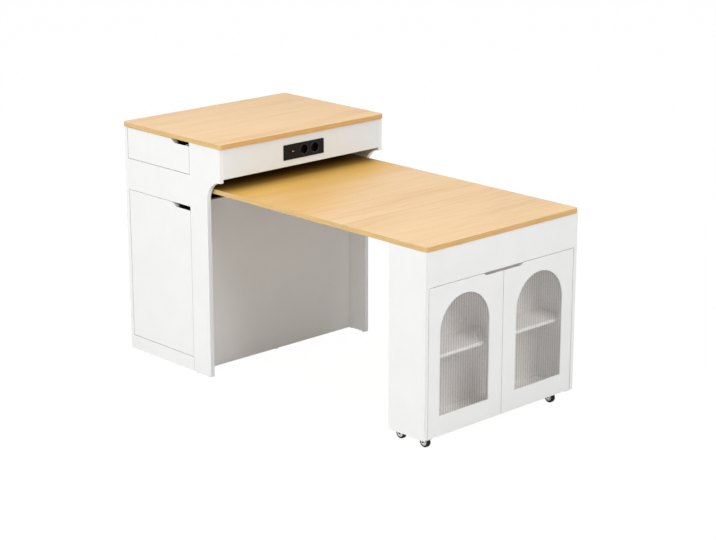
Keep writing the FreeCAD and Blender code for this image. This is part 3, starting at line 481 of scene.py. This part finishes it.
# both leaves are darker copies of the top's oak, painted shade; the inner one also carries the beam's painted
# shade
oakInner = makeOak("oakInnerLeaf", shift=(1.7, 0.4, 0), shade=0.96, shadedByBeam=True)
oakOuter = makeOak("oakOuterLeaf", shift=(3.1, 2.3, 0), shade=0.93)
railTimber = makeTimber("railTimber", light=(0.72, 0.56, 0.37), dark=(0.60, 0.44, 0.27))
beech = makeTimber("beechDowel", light=(0.70, 0.52, 0.34), dark=(0.60, 0.42, 0.26))
blackPlastic = makePlastic("blackPlastic", (0.0075, 0.0065, 0.0055), roughness=0.45, gloss=0.15)
blackInsert = makePlastic("blackInsert", (0.004, 0.0035, 0.0035), roughness=0.4, gloss=0.12)
# painted highlight: a lighter plastic for the rings round the wells, standing in for the glints on their rims
ringPlastic = makePlastic("ringPlastic", (0.024, 0.022, 0.020), roughness=0.32, gloss=0.4)
greyPlastic = makePlastic("greyPlastic", (0.70, 0.70, 0.69), roughness=0.5)
hubPlastic = makePlastic("hubPlastic", (0.86, 0.86, 0.85), roughness=0.42)
zinc = makeMetal("zincSteel", (0.80, 0.80, 0.81), roughness=0.30, along=0)
zincAcross = makeMetal("zincSteelAcross", (0.70, 0.70, 0.71), roughness=0.26, along=1)
brightSteel = makeMetal("brightSteel", (0.78, 0.78, 0.79), roughness=0.18, along=2)
darkNickel = makeMetal("darkNickel", (0.16, 0.155, 0.15), roughness=0.3, along=0)
brass = makeMetal("contactBrass", (0.80, 0.60, 0.28), roughness=0.22, along=0)
tyreRubber = makeRubber()
reededGlass = makeReededGlass()
print("finishes made")


# carried-over CAD nodes get their finish

def paint(material, *names):
    for name in names:
        slots = nodes[name].data.materials
        slots.clear()
        slots.append(material)


# the beam's bluer lacquer is a painted correction for warm bounced light
paint(coolLacquer, "front_beam")
paint(panelLacquer, "side_panel_near", "side_panel_far")
paint(whiteLacquer, "back_panel", "middle_panels", "plinths", "cabinet_sides", "cabinet_apron")
# painted light: the boards in shade get the whiter copies
paint(whiteBoard, "recess_panel", "bottom_panel", "cupboard_partition", "cupboard_shelves")
paint(cabinetBoard, "cabinet_back", "cabinet_bottom", "cabinet_ceiling")
paint(shelfBoard, "cabinet_shelf")
for end in ends:
    paint(whiteLacquer, f"cupboard_door_{end}", f"drawer_front_{end}", f"glass_door_frame_{end}",
          f"glass_beads_{end}")
    paint(whiteBoard, f"drawer_box_{end}", f"drawer_bottom_{end}")
    paint(zincAcross, f"drawer_runners_{end}")
# painted shade: the bay's inner boards are near black
paint(bayShadeBoard, "cupboard_top", "drawer_deck", "runner_panel")
paint(oakTop, "island_top")
paint(oakInner, "table_leaf_inner")
paint(oakOuter, "table_leaf_outer")
paint(railTimber, "table_rails")
paint(beech, "leaf_dowels")
paint(blackPlastic, "outlet_plate", "outlet_box")
paint(blackInsert, "socket_inserts")
paint(greyPlastic, "floor_glides")
paint(zinc, "slide_fixed_members", "slide_middle_members", "slide_moving_members", "caster_plates")
paint(zincAcross, "drawer_rails")
paint(brightSteel, "shelf_pins", "door_pivot_pins", "glass_pivot_pins")
for corner in corners:
    paint(zinc, f"caster_fork_{corner}")
    paint(tyreRubber, f"caster_wheel_{corner}")
print("solids painted")


# mesh helpers

def meshObject(name, mesh, material, body):
    made = bpy.data.objects.new(name, mesh)
    scene.collection.objects.link(made)
    mesh.materials.append(material)
    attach(made, body)
    return made


def fromBmesh(name, shape):
    mesh = bpy.data.meshes.new(name)
    bmesh.ops.recalc_face_normals(shape, faces=shape.faces)
    shape.to_mesh(mesh)
    shape.free()
    return mesh


def lathe(shape, profile, centre, along, around=64):
    # turns (radius, distance) points round an axis through the centre; a radius of 0 closes the end
    along = Vector(along)
    side = along.orthogonal().normalized()
    other = along.cross(side)
    rings = []
    for radius, distance in profile:
        middle = Vector(centre) + along * distance
        if radius == 0:
            rings.append([shape.verts.new(middle)])
            continue
        spokes = [side * math.cos(a) + other * math.sin(a)
                  for a in (2 * math.pi * i / around for i in range(around))]
        rings.append([shape.verts.new(middle + spoke * radius) for spoke in spokes])
    for first, second in zip(rings, rings[1:]):
        for i in range(around):
            loop = [first[i % len(first)], first[(i + 1) % len(first)],
                    second[(i + 1) % len(second)], second[i % len(second)]]
            shape.faces.new(list(dict.fromkeys(loop)))


def arc(centre, first, last, radius, steps=5):
    # points round a centre between two angles in degrees
    angles = [math.radians(first + (last - first) * i / steps) for i in range(steps + 1)]
    return [(centre[0] + radius * math.cos(a), centre[1] + radius * math.sin(a)) for a in angles]


def block(shape, low, high):
    size = Vector(high) - Vector(low)
    made = bmesh.ops.create_cube(shape, size=1)["verts"]
    bmesh.ops.scale(shape, vec=size, verts=made)
    bmesh.ops.translate(shape, vec=(Vector(low) + Vector(high)) / 2, verts=made)
    return made


def soften(piece, width, segments=2):
    bevel = piece.modifiers.new("softened", "BEVEL")
    bevel.width = width
    bevel.segments = segments
    bevel.limit_method = "ANGLE"
    bevel.harden_normals = True
    for polygon in piece.data.polygons:
        polygon.use_smooth = True


def smoothByAngle(piece, degrees):
    # an edge that turns by more than this stays sharp
    for polygon in piece.data.polygons:
        polygon.use_smooth = True
    piece.data.set_sharp_from_angle(angle=math.radians(degrees))


# reeded panes

def reededPane(end):
    look = reedLook
    name = f"glass_pane_{end}"
    low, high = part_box(name)
    valley = high.x - look["depth"]
    count = math.floor((high.y - low.y) / look["pitch"])
    steps = look["steps"]
    profile = []
    for i in range(count * steps + 1):
        y = low.y + (high.y - low.y) * i / (count * steps)
        phase = (i % steps) / steps
        profile.append((valley + look["depth"] * math.sqrt(max(0.0, 1 - (2 * phase - 1) ** 2)), y))
    shape = bmesh.new()
    rings = []
    for z in (low.z, high.z):
        fore = [shape.verts.new((x, y, z)) for x, y in profile]
        rear = [shape.verts.new((low.x, y, z)) for x, y in profile]
        rings.append((fore, rear))
    (lowFore, lowRear), (highFore, highRear) = rings
    for i in range(len(profile) - 1):
        front = shape.faces.new((lowFore[i], lowFore[i + 1], highFore[i + 1], highFore[i]))
        front.smooth = True
        shape.faces.new((lowRear[i], highRear[i], highRear[i + 1], lowRear[i + 1]))
        shape.faces.new((lowFore[i], lowRear[i], lowRear[i + 1], lowFore[i + 1]))
        shape.faces.new((highFore[i], highFore[i + 1], highRear[i + 1], highRear[i]))
    last = len(profile) - 1
    shape.faces.new((lowFore[0], highFore[0], highRear[0], lowRear[0]))
    shape.faces.new((lowFore[last], lowRear[last], highRear[last], highFore[last]))
    mesh = fromBmesh(f"reeded_pane_{end}", shape)
    pane = meshObject(f"reeded_pane_{end}", mesh, reededGlass, f"glass_door_{end}")
    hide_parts(name)


for end in ends:
    reededPane(end)
print("panes made")


# power outlet: rings round the wells, earth springs, guide ribs, pin collars and the charging port;
# a profile is a list of radius and rise in millimetres

outletLook = {
    "wellRadius": 19.5 * mm,
    "wellDepth": 15 * mm,
    "plateThick": 3 * mm,
    "ringWidth": 2.2 * mm,
    "ringSharp": 60,
    "ringRise": 0.7 * mm,
    "ringRoot": 1.2 * mm,
    "ringGap": 0.4 * mm,
    "springWidth": 5 * mm,
    "springThick": 0.6 * mm,
    "springGap": 0.6 * mm,
    "springBow": 3.2 * mm,
    "springFootShare": 0.05,
    "springBowShare": 1 / 1.15,
    "springSteps": 10,
    "springSharp": 50,
    "ribWidth": 3.4 * mm,
    "ribRise": 2.2 * mm,
    "ribStop": 1.5 * mm,
    "ribRound": 0.7 * mm,
    "collar": [(2.7, -0.5), (3.0, 0.48), (3.6, 0.8), (4.0, 0.8), (4.6, 0.32), (4.6, 0)],
    "collarSteps": 32,
    "collarSharp": 35,
    "portWidth": 13 * mm,
    "portHeight": 6 * mm,
    "portDepth": 8.6 * mm,
    "portProud": 0.3 * mm,
    "shellThick": 0.5 * mm,
    "shellRound": 0.15 * mm,
    "tongueWidth": 9.6 * mm,
    "tongueThick": 2.6 * mm,
    "tongueDrop": 0.2 * mm,
    "tongueStop": 1.4 * mm,
    "tongueRound": 0.3 * mm,
    "contactPitch": 2.2 * mm,
    "contactWidth": 1.1 * mm,
    "contactThick": 0.15 * mm,
    "contactStop": 1.9 * mm,
    "contactRound": 0.05 * mm,
}
mountPlaces = {mount["name"]: Vector(mount["pos_m"]) for mount in frame["record"]["mounts"]}


def socketCentre(number):
    return (mountPlaces[f"outlet_{number}_pin_left"] + mountPlaces[f"outlet_{number}_pin_right"]) / 2


def islandPiece(name, shape, material):
    piece = meshObject(name, fromBmesh(name, shape), material, "island")
    return piece


def socketRing(number, centre, face, floor):
    look = outletLook
    half = look["ringWidth"] / 2
    lip = face - floor - (half - look["ringRise"])
    inner = look["wellRadius"] - look["ringGap"]
    ring = bmesh.new()
    lathe(ring, [(inner, lip - look["ringRoot"]), *arc((inner + half, lip), 180, 0, half)],
          (floor, centre.y, centre.z), (1, 0, 0))
    # the ring's lighter plastic is a painted highlight on the well's rim
    piece = islandPiece(f"socket_ring_{number}", ring, ringPlastic)
    smoothByAngle(piece, look["ringSharp"])


def earthSprings(number, centre, floor):
    # bowed strips at the well's top and bottom
    look = outletLook
    wide, thick, foot = look["springWidth"] / 2, look["springThick"], look["springFootShare"]
    reach = look["wellRadius"] - look["springGap"]
    springs = bmesh.new()
    for way in (-1, 1):
        rows = []
        for i in range(look["springSteps"] + 1):
            share = i / look["springSteps"]
            x = floor + look["wellDepth"] * (foot + (1 - foot) * share)
            bow = math.sin(math.pi * min(1.0, share / look["springBowShare"])) ** 2
            z = centre.z + way * (reach - look["springBow"] * bow)
            rows.append([springs.verts.new((x, centre.y + y, z + way * out))
                         for y, out in ((-wide, 0), (wide, 0), (wide, -thick), (-wide, -thick))])
        for first, second in zip(rows, rows[1:]):
            for j in range(4):
                springs.faces.new((first[j], first[(j + 1) % 4], second[(j + 1) % 4], second[j]))
        springs.faces.new(rows[0])
        springs.faces.new(list(reversed(rows[-1])))
    piece = islandPiece(f"earth_springs_{number}", springs, brightSteel)
    smoothByAngle(piece, look["springSharp"])


def guideRibs(number, centre, face, floor):
    look = outletLook
    half = look["ribWidth"] / 2
    ribs = bmesh.new()
    for way in (-1, 1):
        edge = centre.y + way * look["wellRadius"]
        inner = edge - way * look["ribRise"]
        block(ribs, (floor, min(edge, inner), centre.z - half),
              (face - look["ribStop"], max(edge, inner), centre.z + half))
    ribs = islandPiece(f"guide_ribs_{number}", ribs, blackPlastic)
    soften(ribs, look["ribRound"], segments=3)


def pinCollars(number, floor):
    look = outletLook
    profile = [(radius * mm, rise * mm) for radius, rise in look["collar"]]
    collars = bmesh.new()
    for pin in ("left", "right"):
        place = mountPlaces[f"outlet_{number}_pin_{pin}"]
        lathe(collars, profile, (floor, place.y, place.z), (1, 0, 0), look["collarSteps"])
    piece = islandPiece(f"pin_collars_{number}", collars, blackInsert)
    smoothByAngle(piece, look["collarSharp"])


def chargingPort(centre):
    look = outletLook
    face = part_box("socket_inserts")[1].x
    wide, tall, thick = look["portWidth"] / 2, look["portHeight"] / 2, look["shellThick"]
    back, fore = face - look["portDepth"], face + look["portProud"]
    left, right, low, high = centre.y - wide, centre.y + wide, centre.z - tall, centre.z + tall
    shell = bmesh.new()
    block(shell, (back, left, high - thick), (fore, right, high))
    block(shell, (back, left, low), (fore, right, low + thick))
    block(shell, (back, left, low), (fore, left + thick, high))
    block(shell, (back, right - thick, low), (fore, right, high))
    soften(islandPiece("port_shell", shell, darkNickel), look["shellRound"])

    tongue = bmesh.new()
    reach, bottom = look["tongueWidth"] / 2, centre.z - look["tongueDrop"]
    block(tongue, (back, centre.y - reach, bottom),
          (face - look["tongueStop"], centre.y + reach, bottom + look["tongueThick"]))
    soften(islandPiece("port_tongue", tongue, hubPlastic), look["tongueRound"])

    contacts = bmesh.new()
    half, under = look["contactWidth"] / 2, bottom - look["contactThick"]
    for place in (-1.5, -0.5, 0.5, 1.5):
        y = centre.y + place * look["contactPitch"]
        block(contacts, (back, y - half, under), (face - look["contactStop"], y + half, bottom))
    piece = islandPiece("port_contacts", contacts, brass)
    soften(piece, look["contactRound"], segments=1)


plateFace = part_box("outlet_plate")[1].x
wellFloor = plateFace - outletLook["plateThick"] - outletLook["wellDepth"]
for number in (1, 2):
    centre = socketCentre(number)
    socketRing(number, centre, plateFace, wellFloor)
    earthSprings(number, centre, wellFloor)
    guideRibs(number, centre, plateFace, wellFloor)
    pinCollars(number, wellFloor)
chargingPort(socketCentre(1) * 2 - socketCentre(2))
print("outlet detailed")


# casters: tyres, hubs, axle caps and plate screws; the groove is depth and place in millimetres, the
# hub's side is radius and depth, the screw radius and rise

casterLook = {
    "hubRadius": 13 * mm,
    "shoulder": 4 * mm,
    "beadSlope": 0.3 * mm,
    "groove": [(0, 3.1), (0.5, 2.8), (0.5, 2.0), (0, 1.7)],
    "hubSide": [(2.55, 0), (5.5, 0), (6, 0.5), (6.3, 1.5),
                (10.8, 1.5), (11.3, 0.4), (12.6, 0.2), (13, 0.5)],
    "ribs": 6,
    "ribRadii": (5.7 * mm, 11.2 * mm),
    "ribDepths": (1.7 * mm, 0.5 * mm),
    "ribHalf": 0.6 * mm,
    "wheelSteps": 72,
    "wheelSharp": 40,
    "cap": 3.6 * mm,
    "capSeat": 2.3 * mm,
    "capRise": 1.5 * mm,
    "capRound": 0.9 * mm,
    "capArc": (0, 80),
    "capArcSteps": 4,
    "capSteps": 32,
    "capSharp": 50,
    "screwReach": 12 * mm,
    "plateThick": 2 * mm,
    "screw": [(3.2, 0), (3.2, 0.455), (2.752, 0.975), (1.76, 1.235),
              (1.344, 1.3), (1.088, 0.715), (0, 0.585)],
    "screwSteps": 24,
    "screwSharp": 50,
}


def mirrored(side):
    return side + [(radius, -reach) for radius, reach in reversed(side)]


def casterWheel(corner):
    # a tyre with a groove on each side of its tread, and a dished hub with ribs
    look = casterLook
    node, body = f"caster_wheel_{corner}", f"wheel_{corner}"
    low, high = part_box(node)
    centre = (low + high) / 2
    radius, half = (high.z - low.z) / 2, (high.y - low.y) / 2
    hub, shoulder, slope = look["hubRadius"], look["shoulder"], look["beadSlope"]
    flank = [(hub, half - slope), (hub + slope, half),
             *arc((radius - shoulder, half - shoulder), 90, 0, shoulder),
             *[(radius - depth * mm, place * mm) for depth, place in look["groove"]]]
    tyre = bmesh.new()
    lathe(tyre, mirrored(flank), centre, (0, 1, 0), look["wheelSteps"])
    name = f"tyre_{corner}"
    tyrePiece = meshObject(name, fromBmesh(name, tyre), tyreRubber, body)
    smoothByAngle(tyrePiece, look["wheelSharp"])
    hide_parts(node)

    disc = bmesh.new()
    side = [(place * mm, half - depth * mm) for place, depth in look["hubSide"]]
    lathe(disc, mirrored(side) + [side[0]], centre, (0, 1, 0), look["wheelSteps"])
    (ribInner, ribOuter), (ribDeep, ribHigh) = look["ribRadii"], look["ribDepths"]
    for way in (-1, 1):
        for i in range(look["ribs"]):
            rib = block(disc, (ribInner, half - ribDeep, -look["ribHalf"]),
                        (ribOuter, half - ribHigh, look["ribHalf"]))
            turned = Matrix.Rotation(2 * math.pi * i / look["ribs"], 3, "Y")
            for vert in rib:
                vert.co = turned @ vert.co
                vert.co.y *= way
                vert.co += centre
    name = f"hub_{corner}"
    hubPiece = meshObject(name, fromBmesh(name, disc), hubPlastic, body)
    smoothByAngle(hubPiece, look["wheelSharp"])


def axleCaps(corner):
    # dark caps over the axle's two ends, seated on the fork's ears
    look = casterLook
    low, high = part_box(f"caster_wheel_{corner}")
    seat = (high.y - low.y) / 2 + look["capSeat"]
    cap, top, turn = look["cap"], seat + look["capRise"], look["capRound"]
    dome = arc((cap - turn, top - turn), *look["capArc"], turn, look["capArcSteps"])
    profile = [(cap, seat), *dome, (0, top)]
    caps = bmesh.new()
    for way in (-1, 1):
        lathe(caps, profile, (low + high) / 2, (0, way, 0), look["capSteps"])
    name = f"axle_caps_{corner}"
    piece = meshObject(name, fromBmesh(name, caps), blackPlastic, f"caster_{corner}")
    smoothByAngle(piece, look["capSharp"])


def plateScrews():
    # four domed screws with a sunk middle hold each caster plate to the cabinet's bottom
    look = casterLook
    reach = look["screwReach"]
    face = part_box("caster_plates")[1].z - look["plateThick"]
    profile = [(radius * mm, rise * mm) for radius, rise in look["screw"]]
    heads = bmesh.new()
    for joint in frame["joints"]:
        if not joint["name"].endswith("_swivel"):
            continue
        pivot = Vector(joint["pos_m"])
        for a in (-1, 1):
            for b in (-1, 1):
                place = (pivot.x + a * reach, pivot.y + b * reach, face)
                lathe(heads, profile, place, (0, 0, -1), look["screwSteps"])
    name = "caster_plate_screws"
    piece = meshObject(name, fromBmesh(name, heads), brightSteel, "pull_out")
    smoothByAngle(piece, look["screwSharp"])


for corner in corners:
    casterWheel(corner)
    axleCaps(corner)
plateScrews()
print("casters detailed")


# camera, lights and studio

cameraPlace = {
    "place": (5.0686, -4.7205, 2.4376),
    "pitch": 16.344,
    "yaw": 46.638,
    "lens": 97.044,
    "sensor": 36,
    "reach": 100,
}


def makeCamera():
    data = bpy.data.cameras.new("camera")
    data.lens = cameraPlace["lens"]
    data.sensor_width = cameraPlace["sensor"]
    data.clip_end = cameraPlace["reach"]
    camera = bpy.data.objects.new("camera", data)
    camera.location = cameraPlace["place"]
    tilt, turn = math.radians(90 - cameraPlace["pitch"]), math.radians(cameraPlace["yaw"])
    camera.rotation_euler = (tilt, 0, turn)
    scene.collection.objects.link(camera)
    scene.camera = camera


lamps = {
    "overhead": {"place": (0.2, -0.5, 3.8), "aim": (0, 0, 0.5), "size": 3.0, "power": 52},
    "nearSide": {"place": (-0.5, -4.3, 2.2), "aim": (0, 0, 0.4), "size": 2.6, "power": 92},
    "front": {"place": (3.7, -0.3, 3.3), "aim": (0, 0, 0.4), "size": 2.4, "power": 88},
}
worldLook = {
    "light": 0.34,
    "floor": (0.80, 0.80, 0.80),
    "floorSize": 30,
    "floorShare": 0.95,
    "floorGlow": 1.03,
}


def makeLamps():
    for name, lamp in lamps.items():
        data = bpy.data.lights.new(name, "AREA")
        data.size = lamp["size"]
        data.energy = lamp["power"]
        made = bpy.data.objects.new(name, data)
        made.location = lamp["place"]
        aim = Vector(lamp["aim"]) - Vector(lamp["place"])
        made.rotation_euler = aim.to_track_quat("-Z", "Y").to_euler()
        scene.collection.objects.link(made)


def seenDirectly(start):
    # 1 for camera, mirror and see-through rays, 0 for the rays that light the object
    path = start.node("ShaderNodeLightPath").socket.node
    camera, glossy, through = (Wire(start.tree, path.outputs[name]) for name in (
        "Is Camera Ray", "Is Glossy Ray", "Is Transmission Ray"))
    return camera.maths("MAXIMUM", camera, glossy.maths("MAXIMUM", glossy, through))


def makeWorld():
    world = bpy.data.worlds.new("studio")
    world.use_nodes = True
    world.node_tree.nodes.clear()
    start = Wire(world.node_tree)
    colour = seenDirectly(start).colour(rgb(white, worldLook["light"]), rgb(white))
    background = start.node("ShaderNodeBackground", {}, {"Color": colour, "Strength": 1.0})
    start.node("ShaderNodeOutputWorld", {}, {"Surface": background})
    scene.world = world


def makeFloor():
    look = worldLook
    shape = bmesh.new()
    bmesh.ops.create_grid(shape, x_segments=1, y_segments=1, size=look["floorSize"])
    mesh = fromBmesh("floor", shape)
    floor = bpy.data.objects.new("floor", mesh)
    scene.collection.objects.link(floor)
    material, start = newMaterial("paleFloor")[:2]
    plain = start.node("ShaderNodeBsdfDiffuse", {}, {"Color": rgb(look["floor"])})
    glow = start.node("ShaderNodeEmission", {}, {"Color": rgb(white), "Strength": look["floorGlow"]})
    share = seenDirectly(start) * look["floorShare"]
    mixed = share.node("ShaderNodeMixShader", {}, {0: share, 1: plain, 2: glow})
    start.node("ShaderNodeOutputMaterial", {}, {"Surface": mixed})
    mesh.materials.append(material)


makeCamera()
makeLamps()
makeWorld()
makeFloor()
scene.view_settings.view_transform = "Standard"
print("studio made")
